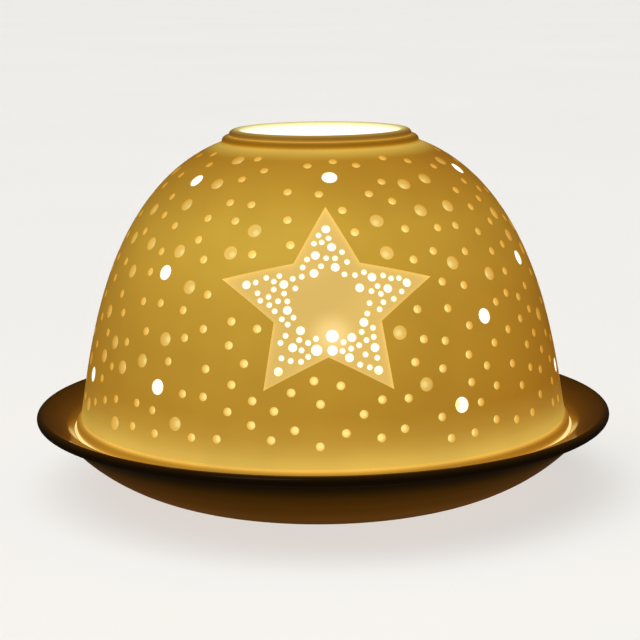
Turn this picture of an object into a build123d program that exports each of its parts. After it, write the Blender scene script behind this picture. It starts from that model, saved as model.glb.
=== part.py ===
from build123d import *
import math
import os

# A tealight holder: a thin pierced porcelain dome stands in the seat of a porcelain saucer, over
# a tealight that stands on the saucer's floor. Z is up, the origin is the middle of the saucer's
# foot ring, and the dome's star faces -Y. All sizes are in millimetres.

# Saucer
RIM_RADIUS = 60.0
RIM_EDGE_RADIUS = 1.05
RIM_MIDDLE_Z = 16.1
LIP_FOOT_RADIUS = 53.8
LIP_FOOT_Z = 15.0
BOWL_TOP_RADIUS = 55.8
BOWL_TOP_Z = 14.3
BOWL_MIDDLE_RADIUS = 43.4
BOWL_MIDDLE_Z = 4.0
FOOT_OUTER_RADIUS = 30.2
FOOT_INNER_RADIUS = 27.4
FOOT_BEVEL = 0.6
FOOT_RECESS = 1.0
FLOOR_Z = 3.9
BOWL_WALL = 3.0
SEAT_Z = 13.5
SEAT_INNER_RADIUS = 47.4
SEAT_OUTER_RADIUS = 52.4
SEAT_EDGE_BEVEL = 0.5

# Dome wall. At height h above its base line the outer radius is
# (BASE - DRAFT * h) * (1 - (h / RISE) ** SHOULDER) ** (1 / CROWN).
DOME_BASE_RADIUS = 50.8
DOME_BASE_Z = 16.1
DOME_DRAFT = 0.155
DOME_RISE = 59.0
DOME_SHOULDER = 2.95
DOME_CROWN = 2.87
DOME_WALL = 2.6
DOME_TOP_RADIUS = 20.3
OUTLINE_POINTS = 13

# Bead round the dome's foot, and the stepped collar round its open top
FOOT_BEAD_RADIUS = 51.8
FOOT_BEAD_TOP = 15.4
FOOT_GROOVE = 0.4
COLLAR_LOWER_RADIUS = 20.0
COLLAR_STEP_RADIUS = 18.85
COLLAR_STEP_Z = 73.8
COLLAR_UPPER_RADIUS = 18.65
COLLAR_CREST_RADIUS = 17.55
COLLAR_TOP_Z = 75.05
MOUTH_RADIUS = 16.5

# Star: a recess in the dome's outer face
STAR_HEIGHT = 46.0
STAR_POINTS = 5
STAR_OUTER_RADIUS = 20.75
STAR_INNER_RADIUS = 10.6
STAR_SQUASH = 0.935
STAR_DEPTH = 0.8
STAR_CUT_OUT = 6.0
STAR_CUT_IN = 14.0

# Large piercings of the dome's wall: azimuth in degrees from the star towards +X, and height
PIERCING_DIAMETER = 2.9
PIERCINGS = [
    (-73, 27), (-42, 29), (31, 26), (76, 27), (42, 41.5), (-47, 50), (68, 50), (-55, 66.5), (2, 68),
    (70, 67.5), (112, 44), (128, 66), (131, 28), (155, 51), (178, 67), (177, 31), (-152, 46),
    (-124, 66), (-128, 29), (-102, 49),
]
DRILL_OUT = 2.0
DRILL_IN = 5.0

# Tealight
CUP_RADIUS = 18.6
CUP_RIM_RADIUS = 19.1
CUP_HEIGHT = 15.0
CUP_WALL = 0.4
CUP_RIM_HEIGHT = 0.8
WAX_GAP = 0.05
WAX_TOP = 12.8
WAX_DISH = 0.7
WAX_DISH_RADIUS = 15.5
WICK_RADIUS = 0.75
WICK_TOP = 19.5
SUSTAINER_RADIUS = 7.5
SUSTAINER_PLATE = 0.3
SUSTAINER_STEM_RADIUS = 1.35
SUSTAINER_STEM_TOP = 4.5
METAL_GAP = 0.05


def arc_centre(first, middle, last):
    """Centre and radius of the circle through three points given as (radius, height)."""
    (ax, ay), (bx, by), (cx, cy) = first, middle, last
    twice_area = 2 * (ax * (by - cy) + bx * (cy - ay) + cx * (ay - by))
    a_square, b_square, c_square = ax * ax + ay * ay, bx * bx + by * by, cx * cx + cy * cy
    x = (a_square * (by - cy) + b_square * (cy - ay) + c_square * (ay - by)) / twice_area
    y = (a_square * (cx - bx) + b_square * (ax - cx) + c_square * (bx - ax)) / twice_area
    return x, y, math.hypot(ax - x, ay - y)


def saucer():
    """Footed saucer: a bowl of even wall, a flat seat for the dome and a flared lip."""
    foot = (FOOT_OUTER_RADIUS, 0)
    belly = (BOWL_MIDDLE_RADIUS, BOWL_MIDDLE_Z)
    bowl_top = (BOWL_TOP_RADIUS, BOWL_TOP_Z)
    centre_r, centre_z, outer_radius = arc_centre(foot, belly, bowl_top)
    inner_radius = outer_radius - BOWL_WALL
    floor_edge = centre_r + math.sqrt(inner_radius**2 - (centre_z - FLOOR_Z) ** 2)
    well_top_r = SEAT_INNER_RADIUS - SEAT_EDGE_BEVEL
    well_top_z = centre_z - math.sqrt(inner_radius**2 - (well_top_r - centre_r) ** 2)
    half_way = math.atan2(
        (FLOOR_Z + well_top_z) / 2 - centre_z, (floor_edge + well_top_r) / 2 - centre_r
    )
    well_middle = (
        centre_r + inner_radius * math.cos(half_way),
        centre_z + inner_radius * math.sin(half_way),
    )
    edge_r = RIM_RADIUS - RIM_EDGE_RADIUS
    under_z = RIM_MIDDLE_Z - RIM_EDGE_RADIUS
    rim_z = RIM_MIDDLE_Z + RIM_EDGE_RADIUS
    with BuildPart() as part:
        with BuildSketch(Plane.XZ):
            with BuildLine():
                Polyline(
                    (0, FLOOR_Z),
                    (0, FOOT_RECESS),
                    (FOOT_INNER_RADIUS - FOOT_BEVEL, FOOT_RECESS),
                    (FOOT_INNER_RADIUS, 0),
                    foot,
                )
                ThreePointArc(foot, belly, bowl_top)
                Line(bowl_top, (edge_r, under_z))
                ThreePointArc((edge_r, under_z), (RIM_RADIUS, RIM_MIDDLE_Z), (edge_r, rim_z))
                Polyline(
                    (edge_r, rim_z),
                    (LIP_FOOT_RADIUS, LIP_FOOT_Z),
                    (SEAT_OUTER_RADIUS, SEAT_Z),
                    (SEAT_INNER_RADIUS, SEAT_Z),
                    (well_top_r, SEAT_Z - SEAT_EDGE_BEVEL),
                    (well_top_r, well_top_z),
                )
                ThreePointArc((well_top_r, well_top_z), well_middle, (floor_edge, FLOOR_Z))
                Line((floor_edge, FLOOR_Z), (0, FLOOR_Z))
            make_face()
        revolve(axis=Axis.Z)
    return part.part


def dome_radius(height):
    """Outer radius of the dome's wall at a height above the table."""
    rise = height - DOME_BASE_Z
    crown = (1 - (max(rise, 0) / DOME_RISE) ** DOME_SHOULDER) ** (1 / DOME_CROWN)
    return (DOME_BASE_RADIUS - DOME_DRAFT * rise) * crown


def dome_slope(height):
    """Angle of the wall's outward normal above the horizontal, in radians."""
    step = 0.01
    return math.atan2(dome_radius(height - step) - dome_radius(height + step), 2 * step)


def dome_top_height():
    """Height at which the wall's outer face meets the collar."""
    low, high = DOME_BASE_Z, DOME_BASE_Z + DOME_RISE
    for _ in range(40):
        middle = (low + high) / 2
        if dome_radius(middle) > DOME_TOP_RADIUS:
            low = middle
        else:
            high = middle
    return low


def dome_outline(depth):
    """Points of the wall's face, from foot to collar, at a depth below the outer face."""
    points = []
    top = dome_top_height()
    for index in range(OUTLINE_POINTS):
        share = math.sin(index / (OUTLINE_POINTS - 1) * math.pi / 2)
        height = DOME_BASE_Z + (top - DOME_BASE_Z) * share
        slope = dome_slope(height)
        radius = dome_radius(height) - depth * math.cos(slope)
        points.append((radius, height - depth * math.sin(slope)))
    return points


def dome_wall():
    """The dome as thrown: an even wall with a beaded foot and a stepped collar."""
    outer = dome_outline(0)
    inner = dome_outline(DOME_WALL)
    inner_foot = (inner[0][0] + DOME_DRAFT * (inner[0][1] - SEAT_Z), SEAT_Z)
    groove = (DOME_BASE_RADIUS - FOOT_GROOVE, (FOOT_BEAD_TOP + DOME_BASE_Z) / 2)
    bead_middle = (FOOT_BEAD_RADIUS, (SEAT_Z + FOOT_BEAD_TOP) / 2)
    bead_foot = (FOOT_BEAD_RADIUS - FOOT_GROOVE, SEAT_Z)
    lower_bead = (COLLAR_LOWER_RADIUS, (outer[-1][1] + COLLAR_STEP_Z) / 2)
    upper_bead = (COLLAR_UPPER_RADIUS, (COLLAR_STEP_Z + COLLAR_TOP_Z) / 2)
    crest = (COLLAR_CREST_RADIUS, COLLAR_TOP_Z)
    mouth_top = (MOUTH_RADIUS, COLLAR_STEP_Z)
    mouth_foot = (MOUTH_RADIUS, inner[-1][1] + FOOT_GROOVE)
    with BuildPart() as part:
        with BuildSketch(Plane.XZ):
            with BuildLine():
                Line(inner_foot, bead_foot)
                ThreePointArc(bead_foot, bead_middle, groove)
                Line(groove, outer[0])
                Spline(*outer)
                ThreePointArc(outer[-1], lower_bead, (COLLAR_STEP_RADIUS, COLLAR_STEP_Z))
                ThreePointArc((COLLAR_STEP_RADIUS, COLLAR_STEP_Z), upper_bead, crest)
                Spline(crest, mouth_top, tangents=[(-1, 0), (0, -1)])
                Line(mouth_top, mouth_foot)
                Line(mouth_foot, inner[-1])
                Spline(*inner[::-1])
                Line(inner[0], inner_foot)
            make_face()
        revolve(axis=Axis.Z)
    return part.part


def dome_core(depth):
    """Solid that fills the dome up to a depth below its outer face."""
    outline = dome_outline(depth)
    with BuildPart() as part:
        with BuildSketch(Plane.XZ):
            with BuildLine():
                Spline(*outline)
                Polyline(outline[-1], (0, outline[-1][1]), (0, outline[0][1]), outline[0])
            make_face()
        revolve(axis=Axis.Z)
    return part.part


def wall_plane(azimuth, height):
    """Plane on the outer face: its normal points out of the wall and its Y axis points up it."""
    turn = math.radians(azimuth)
    slope = dome_slope(height)
    radius = dome_radius(height)
    outward = (math.sin(turn), -math.cos(turn))
    return Plane(
        origin=(radius * outward[0], radius * outward[1], height),
        x_dir=(-outward[1], outward[0], 0),
        z_dir=(outward[0] * math.cos(slope), outward[1] * math.cos(slope), math.sin(slope)),
    )


def star_recess():
    """Cutter for the star: its outline in one direction, its floor even with the wall."""
    corners = []
    for index in range(2 * STAR_POINTS):
        radius = STAR_INNER_RADIUS if index % 2 else STAR_OUTER_RADIUS
        angle = math.pi / 2 + index * math.pi / STAR_POINTS
        corners.append((radius * math.cos(angle), radius * math.sin(angle) * STAR_SQUASH))
    face_plane = wall_plane(0, STAR_HEIGHT)
    with BuildPart() as part:
        with BuildSketch(face_plane.offset(-STAR_CUT_IN)):
            with BuildLine():
                Polyline(*corners, close=True)
            make_face()
        extrude(amount=STAR_CUT_IN + STAR_CUT_OUT)
    return part.part - dome_core(STAR_DEPTH)


def drill(azimuth, height, diameter):
    """Cylinder square to the wall that pierces it at an azimuth and height."""
    plane = wall_plane(azimuth, height)
    length = DRILL_OUT + DRILL_IN
    return plane.offset((DRILL_OUT - DRILL_IN) / 2) * Cylinder(diameter / 2, length)


def dome():
    """The finished dome: wall, star recess and large piercings."""
    cutters = [star_recess()]
    for azimuth, height in PIERCINGS:
        cutters.append(drill(azimuth, height, PIERCING_DIAMETER))
    return dome_wall() - cutters


def disc(radius, low, high):
    """Upright cylinder on the Z axis between two heights."""
    return Pos(0, 0, (low + high) / 2) * Cylinder(radius, high - low)


def tealight_cup():
    """Drawn metal cup with a thicker rolled rim."""
    floor = FLOOR_Z
    top = floor + CUP_HEIGHT
    outer = disc(CUP_RADIUS, floor, top) + disc(CUP_RIM_RADIUS, top - CUP_RIM_HEIGHT, top)
    return outer - disc(CUP_RADIUS - CUP_WALL, floor + CUP_WALL, top + CUP_WALL)


def tealight_wax():
    """Wax filling with a shallow melted dish, hollowed for the sustainer and the wick."""
    base = FLOOR_Z + CUP_WALL
    top = FLOOR_Z + WAX_TOP
    radius = CUP_RADIUS - CUP_WALL - WAX_GAP
    with BuildPart() as part:
        with BuildSketch(Plane.XZ):
            with BuildLine():
                Polyline((0, base), (radius, base), (radius, top), (WAX_DISH_RADIUS, top))
                Spline((WAX_DISH_RADIUS, top), (0, top - WAX_DISH), tangents=[(-1, -0.3), (-1, 0)])
                Line((0, top - WAX_DISH), (0, base))
            make_face()
        revolve(axis=Axis.Z)
    plate_top = base + SUSTAINER_PLATE + METAL_GAP
    stem_top = FLOOR_Z + SUSTAINER_STEM_TOP + METAL_GAP
    plate_room = disc(SUSTAINER_RADIUS + METAL_GAP, base, plate_top)
    stem_room = disc(SUSTAINER_STEM_RADIUS + METAL_GAP, base, stem_top)
    wick_room = disc(WICK_RADIUS + METAL_GAP, base, top + WAX_DISH)
    return part.part - [plate_room, stem_room, wick_room]


def wick_sustainer():
    """Small metal foot that keeps the wick upright in the wax."""
    base = FLOOR_Z + CUP_WALL
    plate = disc(SUSTAINER_RADIUS, base, base + SUSTAINER_PLATE)
    stem = disc(SUSTAINER_STEM_RADIUS, base, FLOOR_Z + SUSTAINER_STEM_TOP)
    bore_floor = base + SUSTAINER_PLATE
    bore = disc(WICK_RADIUS + METAL_GAP, bore_floor, FLOOR_Z + SUSTAINER_STEM_TOP + METAL_GAP)
    return plate + stem - bore


def wick():
    """Cotton wick, standing in the sustainer's bore and clear of the wax."""
    return disc(WICK_RADIUS, FLOOR_Z + CUP_WALL + SUSTAINER_PLATE, FLOOR_Z + WICK_TOP)


def main():
    """Write each sub-part to its own file."""
    os.makedirs("parts", exist_ok=True)
    makers = {
        "saucer": saucer,
        "dome": dome,
        "tealight_cup": tealight_cup,
        "tealight_wax": tealight_wax,
        "wick_sustainer": wick_sustainer,
        "wick": wick,
    }
    for node, make in makers.items():
        export_step(make(), f"parts/{node}.step")


main()
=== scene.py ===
"""A lit tealight holder: a pierced porcelain dome on a glazed saucer, over a burning tealight."""

import logging
import math
import random
from dataclasses import dataclass, field
from enum import Enum, IntEnum

import bmesh
import bpy
import numpy as np
from mathutils import Matrix, Vector


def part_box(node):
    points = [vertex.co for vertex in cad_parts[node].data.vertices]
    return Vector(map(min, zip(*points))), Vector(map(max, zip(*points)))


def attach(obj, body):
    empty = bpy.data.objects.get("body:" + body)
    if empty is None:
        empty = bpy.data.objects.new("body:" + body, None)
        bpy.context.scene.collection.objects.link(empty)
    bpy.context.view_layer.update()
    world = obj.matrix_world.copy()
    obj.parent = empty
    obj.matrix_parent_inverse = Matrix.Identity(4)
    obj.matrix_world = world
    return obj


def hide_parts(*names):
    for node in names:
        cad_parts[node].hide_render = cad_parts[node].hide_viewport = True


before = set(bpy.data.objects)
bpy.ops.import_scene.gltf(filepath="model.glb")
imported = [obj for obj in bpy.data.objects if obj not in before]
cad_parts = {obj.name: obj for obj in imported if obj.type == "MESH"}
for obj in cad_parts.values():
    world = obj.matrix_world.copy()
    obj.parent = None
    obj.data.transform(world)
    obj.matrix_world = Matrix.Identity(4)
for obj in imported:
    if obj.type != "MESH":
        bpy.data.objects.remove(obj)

log = logging.getLogger("tealight_holder")

MM = 0.001
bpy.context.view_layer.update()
SMOOTH_ANGLE = math.radians(30)
# How far the handle of a quarter circle's cubic curve reaches, as a share of the radius.
ROUND_HANDLE = 0.5523
# How often a search halves its range.
HALVINGS = 40
# Sockets of a Mix node's two colours and of its result.
MIX_A, MIX_B, MIX_RESULT = 6, 7, 2
# Noise below and above these is cut off, so that its patches spread evenly.
NOISE_LOW, NOISE_HIGH = 0.3, 0.7

Tree = bpy.types.NodeTree
Node = bpy.types.Node
Socket = bpy.types.NodeSocket
Mesh = bpy.types.Mesh
Object = bpy.types.Object
Shape = bmesh.types.BMesh
Ring = tuple[float, float]
Span = tuple[float, float]
Place = tuple[float, float, float]
Stops = tuple[tuple[float, str | float], ...]


# ---------------------------------------------------------------------------------------------
# Small tools
# ---------------------------------------------------------------------------------------------


def linear(code: str) -> tuple[float, float, float, float]:
    """Turn an sRGB hex code into a linear colour.

    Args:
        code: Six hex digits, with or without a leading hash.

    Returns:
        Linear red, green and blue, and an alpha of 1.
    """
    digits = code.lstrip("#")
    channels = [int(digits[i : i + 2], 16) / 255 for i in (0, 2, 4)]
    red, green, blue = (c / 12.92 if c <= 0.04045 else ((c + 0.055) / 1.055) ** 2.4 for c in channels)
    return red, green, blue, 1.0


def add_node(tree: Tree, kind: str, inputs: dict | None = None, stops: Stops = (), **settings) -> Node:
    """Add a node with its settings, and set or link its inputs.

    Args:
        tree: Node tree that gets the node.
        kind: Node type identifier.
        inputs: Socket name or index to a plain value, or to an output socket to link.
        stops: Position of each stop of a colour ramp, and its hex colour or its plain grey value.
        **settings: Attributes of the node itself.

    Returns:
        The new node.
    """
    node = tree.nodes.new(kind)
    for name, value in settings.items():
        setattr(node, name, value)
    for key, value in (inputs or {}).items():
        if isinstance(value, Socket):
            tree.links.new(value, node.inputs[key])
        else:
            node.inputs[key].default_value = value
    if stops:
        elements = node.color_ramp.elements
        while len(elements) < len(stops):
            elements.new(1.0)
        for element, (position, code) in zip(elements, stops):
            element.position = position
            element.color = linear(code) if isinstance(code, str) else (code, code, code, 1.0)
    return node


def new_object(name: str, data: bpy.types.ID) -> Object:
    """Put a mesh, a lamp or a camera in the scene as an object at the origin."""
    made = bpy.data.objects.new(name, data)
    bpy.context.scene.collection.objects.link(made)
    return made


def take_mesh(shape: Shape, name: str) -> Mesh:
    """Move an edited shape into a new mesh."""
    mesh = bpy.data.meshes.new(name)
    shape.to_mesh(mesh)
    shape.free()
    return mesh


def smooth(mesh: Mesh) -> None:
    """Shade a mesh smooth, with edges over the usual angle kept sharp."""
    mesh.polygons.foreach_set("use_smooth", [True] * len(mesh.polygons))
    mesh.set_sharp_from_angle(angle=SMOOTH_ANGLE)


def bridge(shape: Shape, rings: list[list[bmesh.types.BMVert]]) -> None:
    """Join each ring of vertices to the next with faces.

    Args:
        shape: Shape that holds the vertices and gets the faces.
        rings: Rings of the same length, or of a single vertex, which gets a fan.
    """
    for low, high in zip(rings, rings[1:]):
        sides = max(len(low), len(high))
        for index in range(sides if sides > 1 else 0):
            after = (index + 1) % sides
            corners = [low[index % len(low)], low[after % len(low)]]
            corners += [high[after % len(high)], high[index % len(high)]]
            shape.faces.new(list(dict.fromkeys(corners)))


@dataclass(frozen=True)
class Circle:
    """A circle in a turned piece's section: its middle's radius and height, and its own size."""

    radius: float
    height: float
    size: float

    @classmethod
    def through(cls, first: Ring, middle: Ring, last: Ring) -> "Circle":
        """Return the circle through three points."""
        (ax, ay), (bx, by), (cx, cy) = first, middle, last
        twice_area = 2 * (ax * (by - cy) + bx * (cy - ay) + cx * (ay - by))
        a_square, b_square, c_square = ax * ax + ay * ay, bx * bx + by * by, cx * cx + cy * cy
        x = (a_square * (by - cy) + b_square * (cy - ay) + c_square * (ay - by)) / twice_area
        y = (a_square * (cx - bx) + b_square * (ax - cx) + c_square * (bx - ax)) / twice_area
        return cls(x, y, math.hypot(ax - x, ay - y))

    def at_radius(self, radius: float) -> Ring:
        """Return the point of the circle's lower half at a radius."""
        return radius, self.height - math.sqrt(self.size**2 - (radius - self.radius) ** 2)

    def at_height(self, height: float) -> Ring:
        """Return the point of the circle's outer half at a height."""
        return self.radius + math.sqrt(self.size**2 - (height - self.height) ** 2), height


@dataclass
class Outline:
    """A turned piece's section: radius and height points in millimetres, each with a glow value."""

    points: list[Ring] = field(default_factory=list)
    glows: list[float] = field(default_factory=list)

    def to(self, radius: float, height: float, glow: float = 0.0) -> "Outline":
        """Run straight to a point."""
        self.points.append((radius, height))
        self.glows.append(glow)
        return self

    def curve(self, first: Ring, second: Ring, end: Ring, steps: int, glow: float = 0.0) -> "Outline":
        """Run to a point along a cubic curve.

        Args:
            first: Handle of the start.
            second: Handle of the end.
            end: Where the curve ends.
            steps: Number of points it adds.
            glow: Glow at its end, reached evenly from the present glow.

        Returns:
            The outline itself.
        """
        start, start_glow = self.points[-1], self.glows[-1]
        for step in range(1, steps + 1):
            t = step / steps
            weights = ((1 - t) ** 3, 3 * t * (1 - t) ** 2, 3 * t * t * (1 - t), t**3)
            corners = (start, first, second, end)
            radius = sum(w * c[0] for w, c in zip(weights, corners))
            height = sum(w * c[1] for w, c in zip(weights, corners))
            self.to(radius, height, start_glow + (glow - start_glow) * t)
        return self

    def arc(self, circle: Circle, end: Ring, steps: int, glow: float = 0.0) -> "Outline":
        """Run to a point along a circle, the short way round.

        Args:
            circle: The circle, which passes through the present point and the end.
            end: Where the arc ends.
            steps: Number of points it adds.
            glow: Glow at its end, reached evenly from the present glow.

        Returns:
            The outline itself.
        """
        start, start_glow = self.points[-1], self.glows[-1]
        first, last = (math.atan2(z - circle.height, r - circle.radius) for r, z in (start, end))
        for step in range(1, steps + 1):
            t = step / steps
            angle = first + (last - first) * t
            radius = circle.radius + circle.size * math.cos(angle)
            height = circle.height + circle.size * math.sin(angle)
            self.to(radius, height, start_glow + (glow - start_glow) * t)
        return self

    def turn(self, name: str, segments: int, closed: bool = True) -> Mesh:
        """Turn the outline about the Z axis into a mesh.

        Args:
            name: Name of the mesh.
            segments: Number of steps round the axis.
            closed: Whether the outline's last point is joined to its first.

        Returns:
            A mesh with outward normals and a point attribute named glow.
        """
        shape = bmesh.new()
        layer = shape.verts.layers.float.new("glow")
        rings = []
        for (radius, height), glow in zip(self.points, self.glows):
            ring = []
            for index in range(segments if radius else 1):
                angle = 2 * math.pi * index / segments
                place = Vector((radius * math.cos(angle), radius * math.sin(angle), height)) * MM
                ring.append(shape.verts.new(place))
                ring[-1][layer] = glow
            rings.append(ring)
        if closed and len(rings[0]) > 1:
            rings.append(rings[0])
        bridge(shape, rings)
        bmesh.ops.recalc_face_normals(shape, faces=shape.faces)
        mesh = take_mesh(shape, name)
        smooth(mesh)
        return mesh


def point_mesh(name: str, places: list[Vector], **values: list) -> Mesh:
    """Make a mesh of loose points with attributes.

    Args:
        name: Name of the mesh.
        places: Where the points are, in metres.
        **values: Attribute name to one number or vector for each point.

    Returns:
        The mesh.
    """
    mesh = bpy.data.meshes.new(name)
    mesh.from_pydata([tuple(p) for p in places], [], [])
    for key, numbers in values.items():
        is_vector = isinstance(numbers[0], Vector)
        attribute = mesh.attributes.new(key, "FLOAT_VECTOR" if is_vector else "FLOAT", "POINT")
        flat = [c for n in numbers for c in n] if is_vector else numbers
        attribute.data.foreach_set("vector" if is_vector else "value", flat)
    return mesh


def bake_modifier(piece: Object) -> None:
    """Turn a piece's evaluated shape into its plain mesh, and take its modifiers away."""
    graph = bpy.context.evaluated_depsgraph_get()
    mesh = bpy.data.meshes.new_from_object(piece.evaluated_get(graph), depsgraph=graph)
    mesh.name = piece.name
    piece.modifiers.clear()
    piece.data = mesh


# ---------------------------------------------------------------------------------------------
# Finishes
# ---------------------------------------------------------------------------------------------


class Blend(Enum):
    """Ways in which one light is laid over another."""

    MULTIPLY = "MULTIPLY"
    LIGHTEN = "LIGHTEN"
    ADD = "ADD"


class Easing(Enum):
    """Ways in which a share goes from 0 to 1."""

    LINEAR = "LINEAR"
    SMOOTHSTEP = "SMOOTHSTEP"
    SMOOTHERSTEP = "SMOOTHERSTEP"


@dataclass(frozen=True)
class Finish:
    """What every finish has: a name, a base colour, a roughness and a refractive index."""

    name: str
    colour: str
    roughness: float
    ior: float = 1.5
    metallic: float = 0.0
    grain_mm: float = 0.3
    grain_height_mm: float = 0.01
    grain_detail: float = 4.0
    mottle_mm: float = 12.0
    mottle: float = 0.06
    mottle_detail: float = 3.0
    roughness_swing: float = 0.2
    coat: float = 0.0
    coat_roughness: float = 0.35

    def material(self) -> bpy.types.Material:
        """Build the material: a Principled shader with mottled colour and fine bump."""
        made = bpy.data.materials.new(self.name)
        made.use_nodes = True
        tree = made.node_tree
        shader = tree.nodes["Principled BSDF"]
        shader.inputs["Metallic"].default_value = self.metallic
        if not self.metallic:
            shader.inputs["IOR"].default_value = self.ior
        shader.inputs["Coat Weight"].default_value = self.coat
        shader.inputs["Coat Roughness"].default_value = self.coat_roughness
        self.dress(tree, shader, add_node(tree, "ShaderNodeTexCoord").outputs["Object"])
        return made

    def noise(self, tree: Tree, place: Socket, size_mm: float, detail: float) -> Socket:
        """Return noise whose features are about a size in millimetres."""
        inputs = {"Vector": place, "Scale": 1 / (size_mm * MM), "Detail": detail}
        return add_node(tree, "ShaderNodeTexNoise", inputs).outputs["Fac"]

    def patchy(self, tree: Tree, place: Socket, base: Socket | tuple, detail: float, swing: float) -> Socket:
        """Make a colour a little lighter and darker from place to place.

        Args:
            tree: Material tree.
            place: Coordinates that the patches follow.
            base: The even colour, or a socket that gives it.
            detail: Detail of the patches.
            swing: How far the value goes above and below 1.

        Returns:
            The patchy colour.
        """
        spread = {"Value": self.noise(tree, place, self.mottle_mm, detail)}
        spread |= {"From Min": NOISE_LOW, "From Max": NOISE_HIGH, "To Min": 1 - swing, "To Max": 1 + swing}
        value = add_node(tree, "ShaderNodeMapRange", spread).outputs["Result"]
        return add_node(tree, "ShaderNodeHueSaturation", {"Color": base, "Value": value}).outputs["Color"]

    def mottled(self, tree: Tree, place: Socket) -> Socket:
        """Return the base colour with its mottle."""
        return self.patchy(tree, place, linear(self.colour), self.mottle_detail, self.mottle)

    def dress(self, tree: Tree, shader: Node, place: Socket) -> None:
        """Link the finish's mottle, uneven roughness and fine grain to the shader."""
        cloud = self.noise(tree, place, self.mottle_mm / 3, self.grain_detail)
        low, high = (self.roughness * (1 + swing) for swing in (-self.roughness_swing, self.roughness_swing))
        rough = add_node(tree, "ShaderNodeMapRange", {"Value": cloud, "To Min": low, "To Max": high})
        grain = self.noise(tree, place, self.grain_mm, self.grain_detail)
        bump = {"Height": grain, "Distance": self.grain_height_mm * MM, "Strength": 1.0}
        tree.links.new(self.mottled(tree, place), shader.inputs["Base Color"])
        tree.links.new(rough.outputs["Result"], shader.inputs["Roughness"])
        tree.links.new(add_node(tree, "ShaderNodeBump", bump).outputs["Normal"], shader.inputs["Normal"])


@dataclass(frozen=True)
class GlowingFinish(Finish):
    """A finish lit through or from within, by emission in a colour that follows a point attribute; on every
    piece but the flame and the wick's tip this light is painted.
    """

    attribute: str = "glow"
    span: float = 1.0
    stops: Stops = ((0.0, "#000000"), (1.0, "#FFFFFF"))
    strength: float = 1.0
    unevenness: float = 0.05
    light_detail: float = 2.0

    def dress(self, tree: Tree, shader: Node, place: Socket) -> None:
        """Add the light to the plain finish."""
        super().dress(tree, shader, place)
        value = add_node(tree, "ShaderNodeAttribute", attribute_name=self.attribute).outputs["Fac"]
        parts = {0: value, 1: self.span}
        share = add_node(tree, "ShaderNodeMath", parts, operation="DIVIDE", use_clamp=True).outputs["Value"]
        light = add_node(tree, "ShaderNodeValToRGB", {"Fac": share}, self.stops).outputs["Color"]
        light = self.shape_light(tree, light, place)
        light = self.patchy(tree, place, light, self.light_detail, self.unevenness)
        tree.links.new(light, shader.inputs["Emission Color"])
        shader.inputs["Emission Strength"].default_value = self.strength

    def shape_light(self, tree: Tree, light: Socket, place: Socket) -> Socket:
        """Return the light as it varies over the piece; here it doesn't."""
        return light


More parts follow.
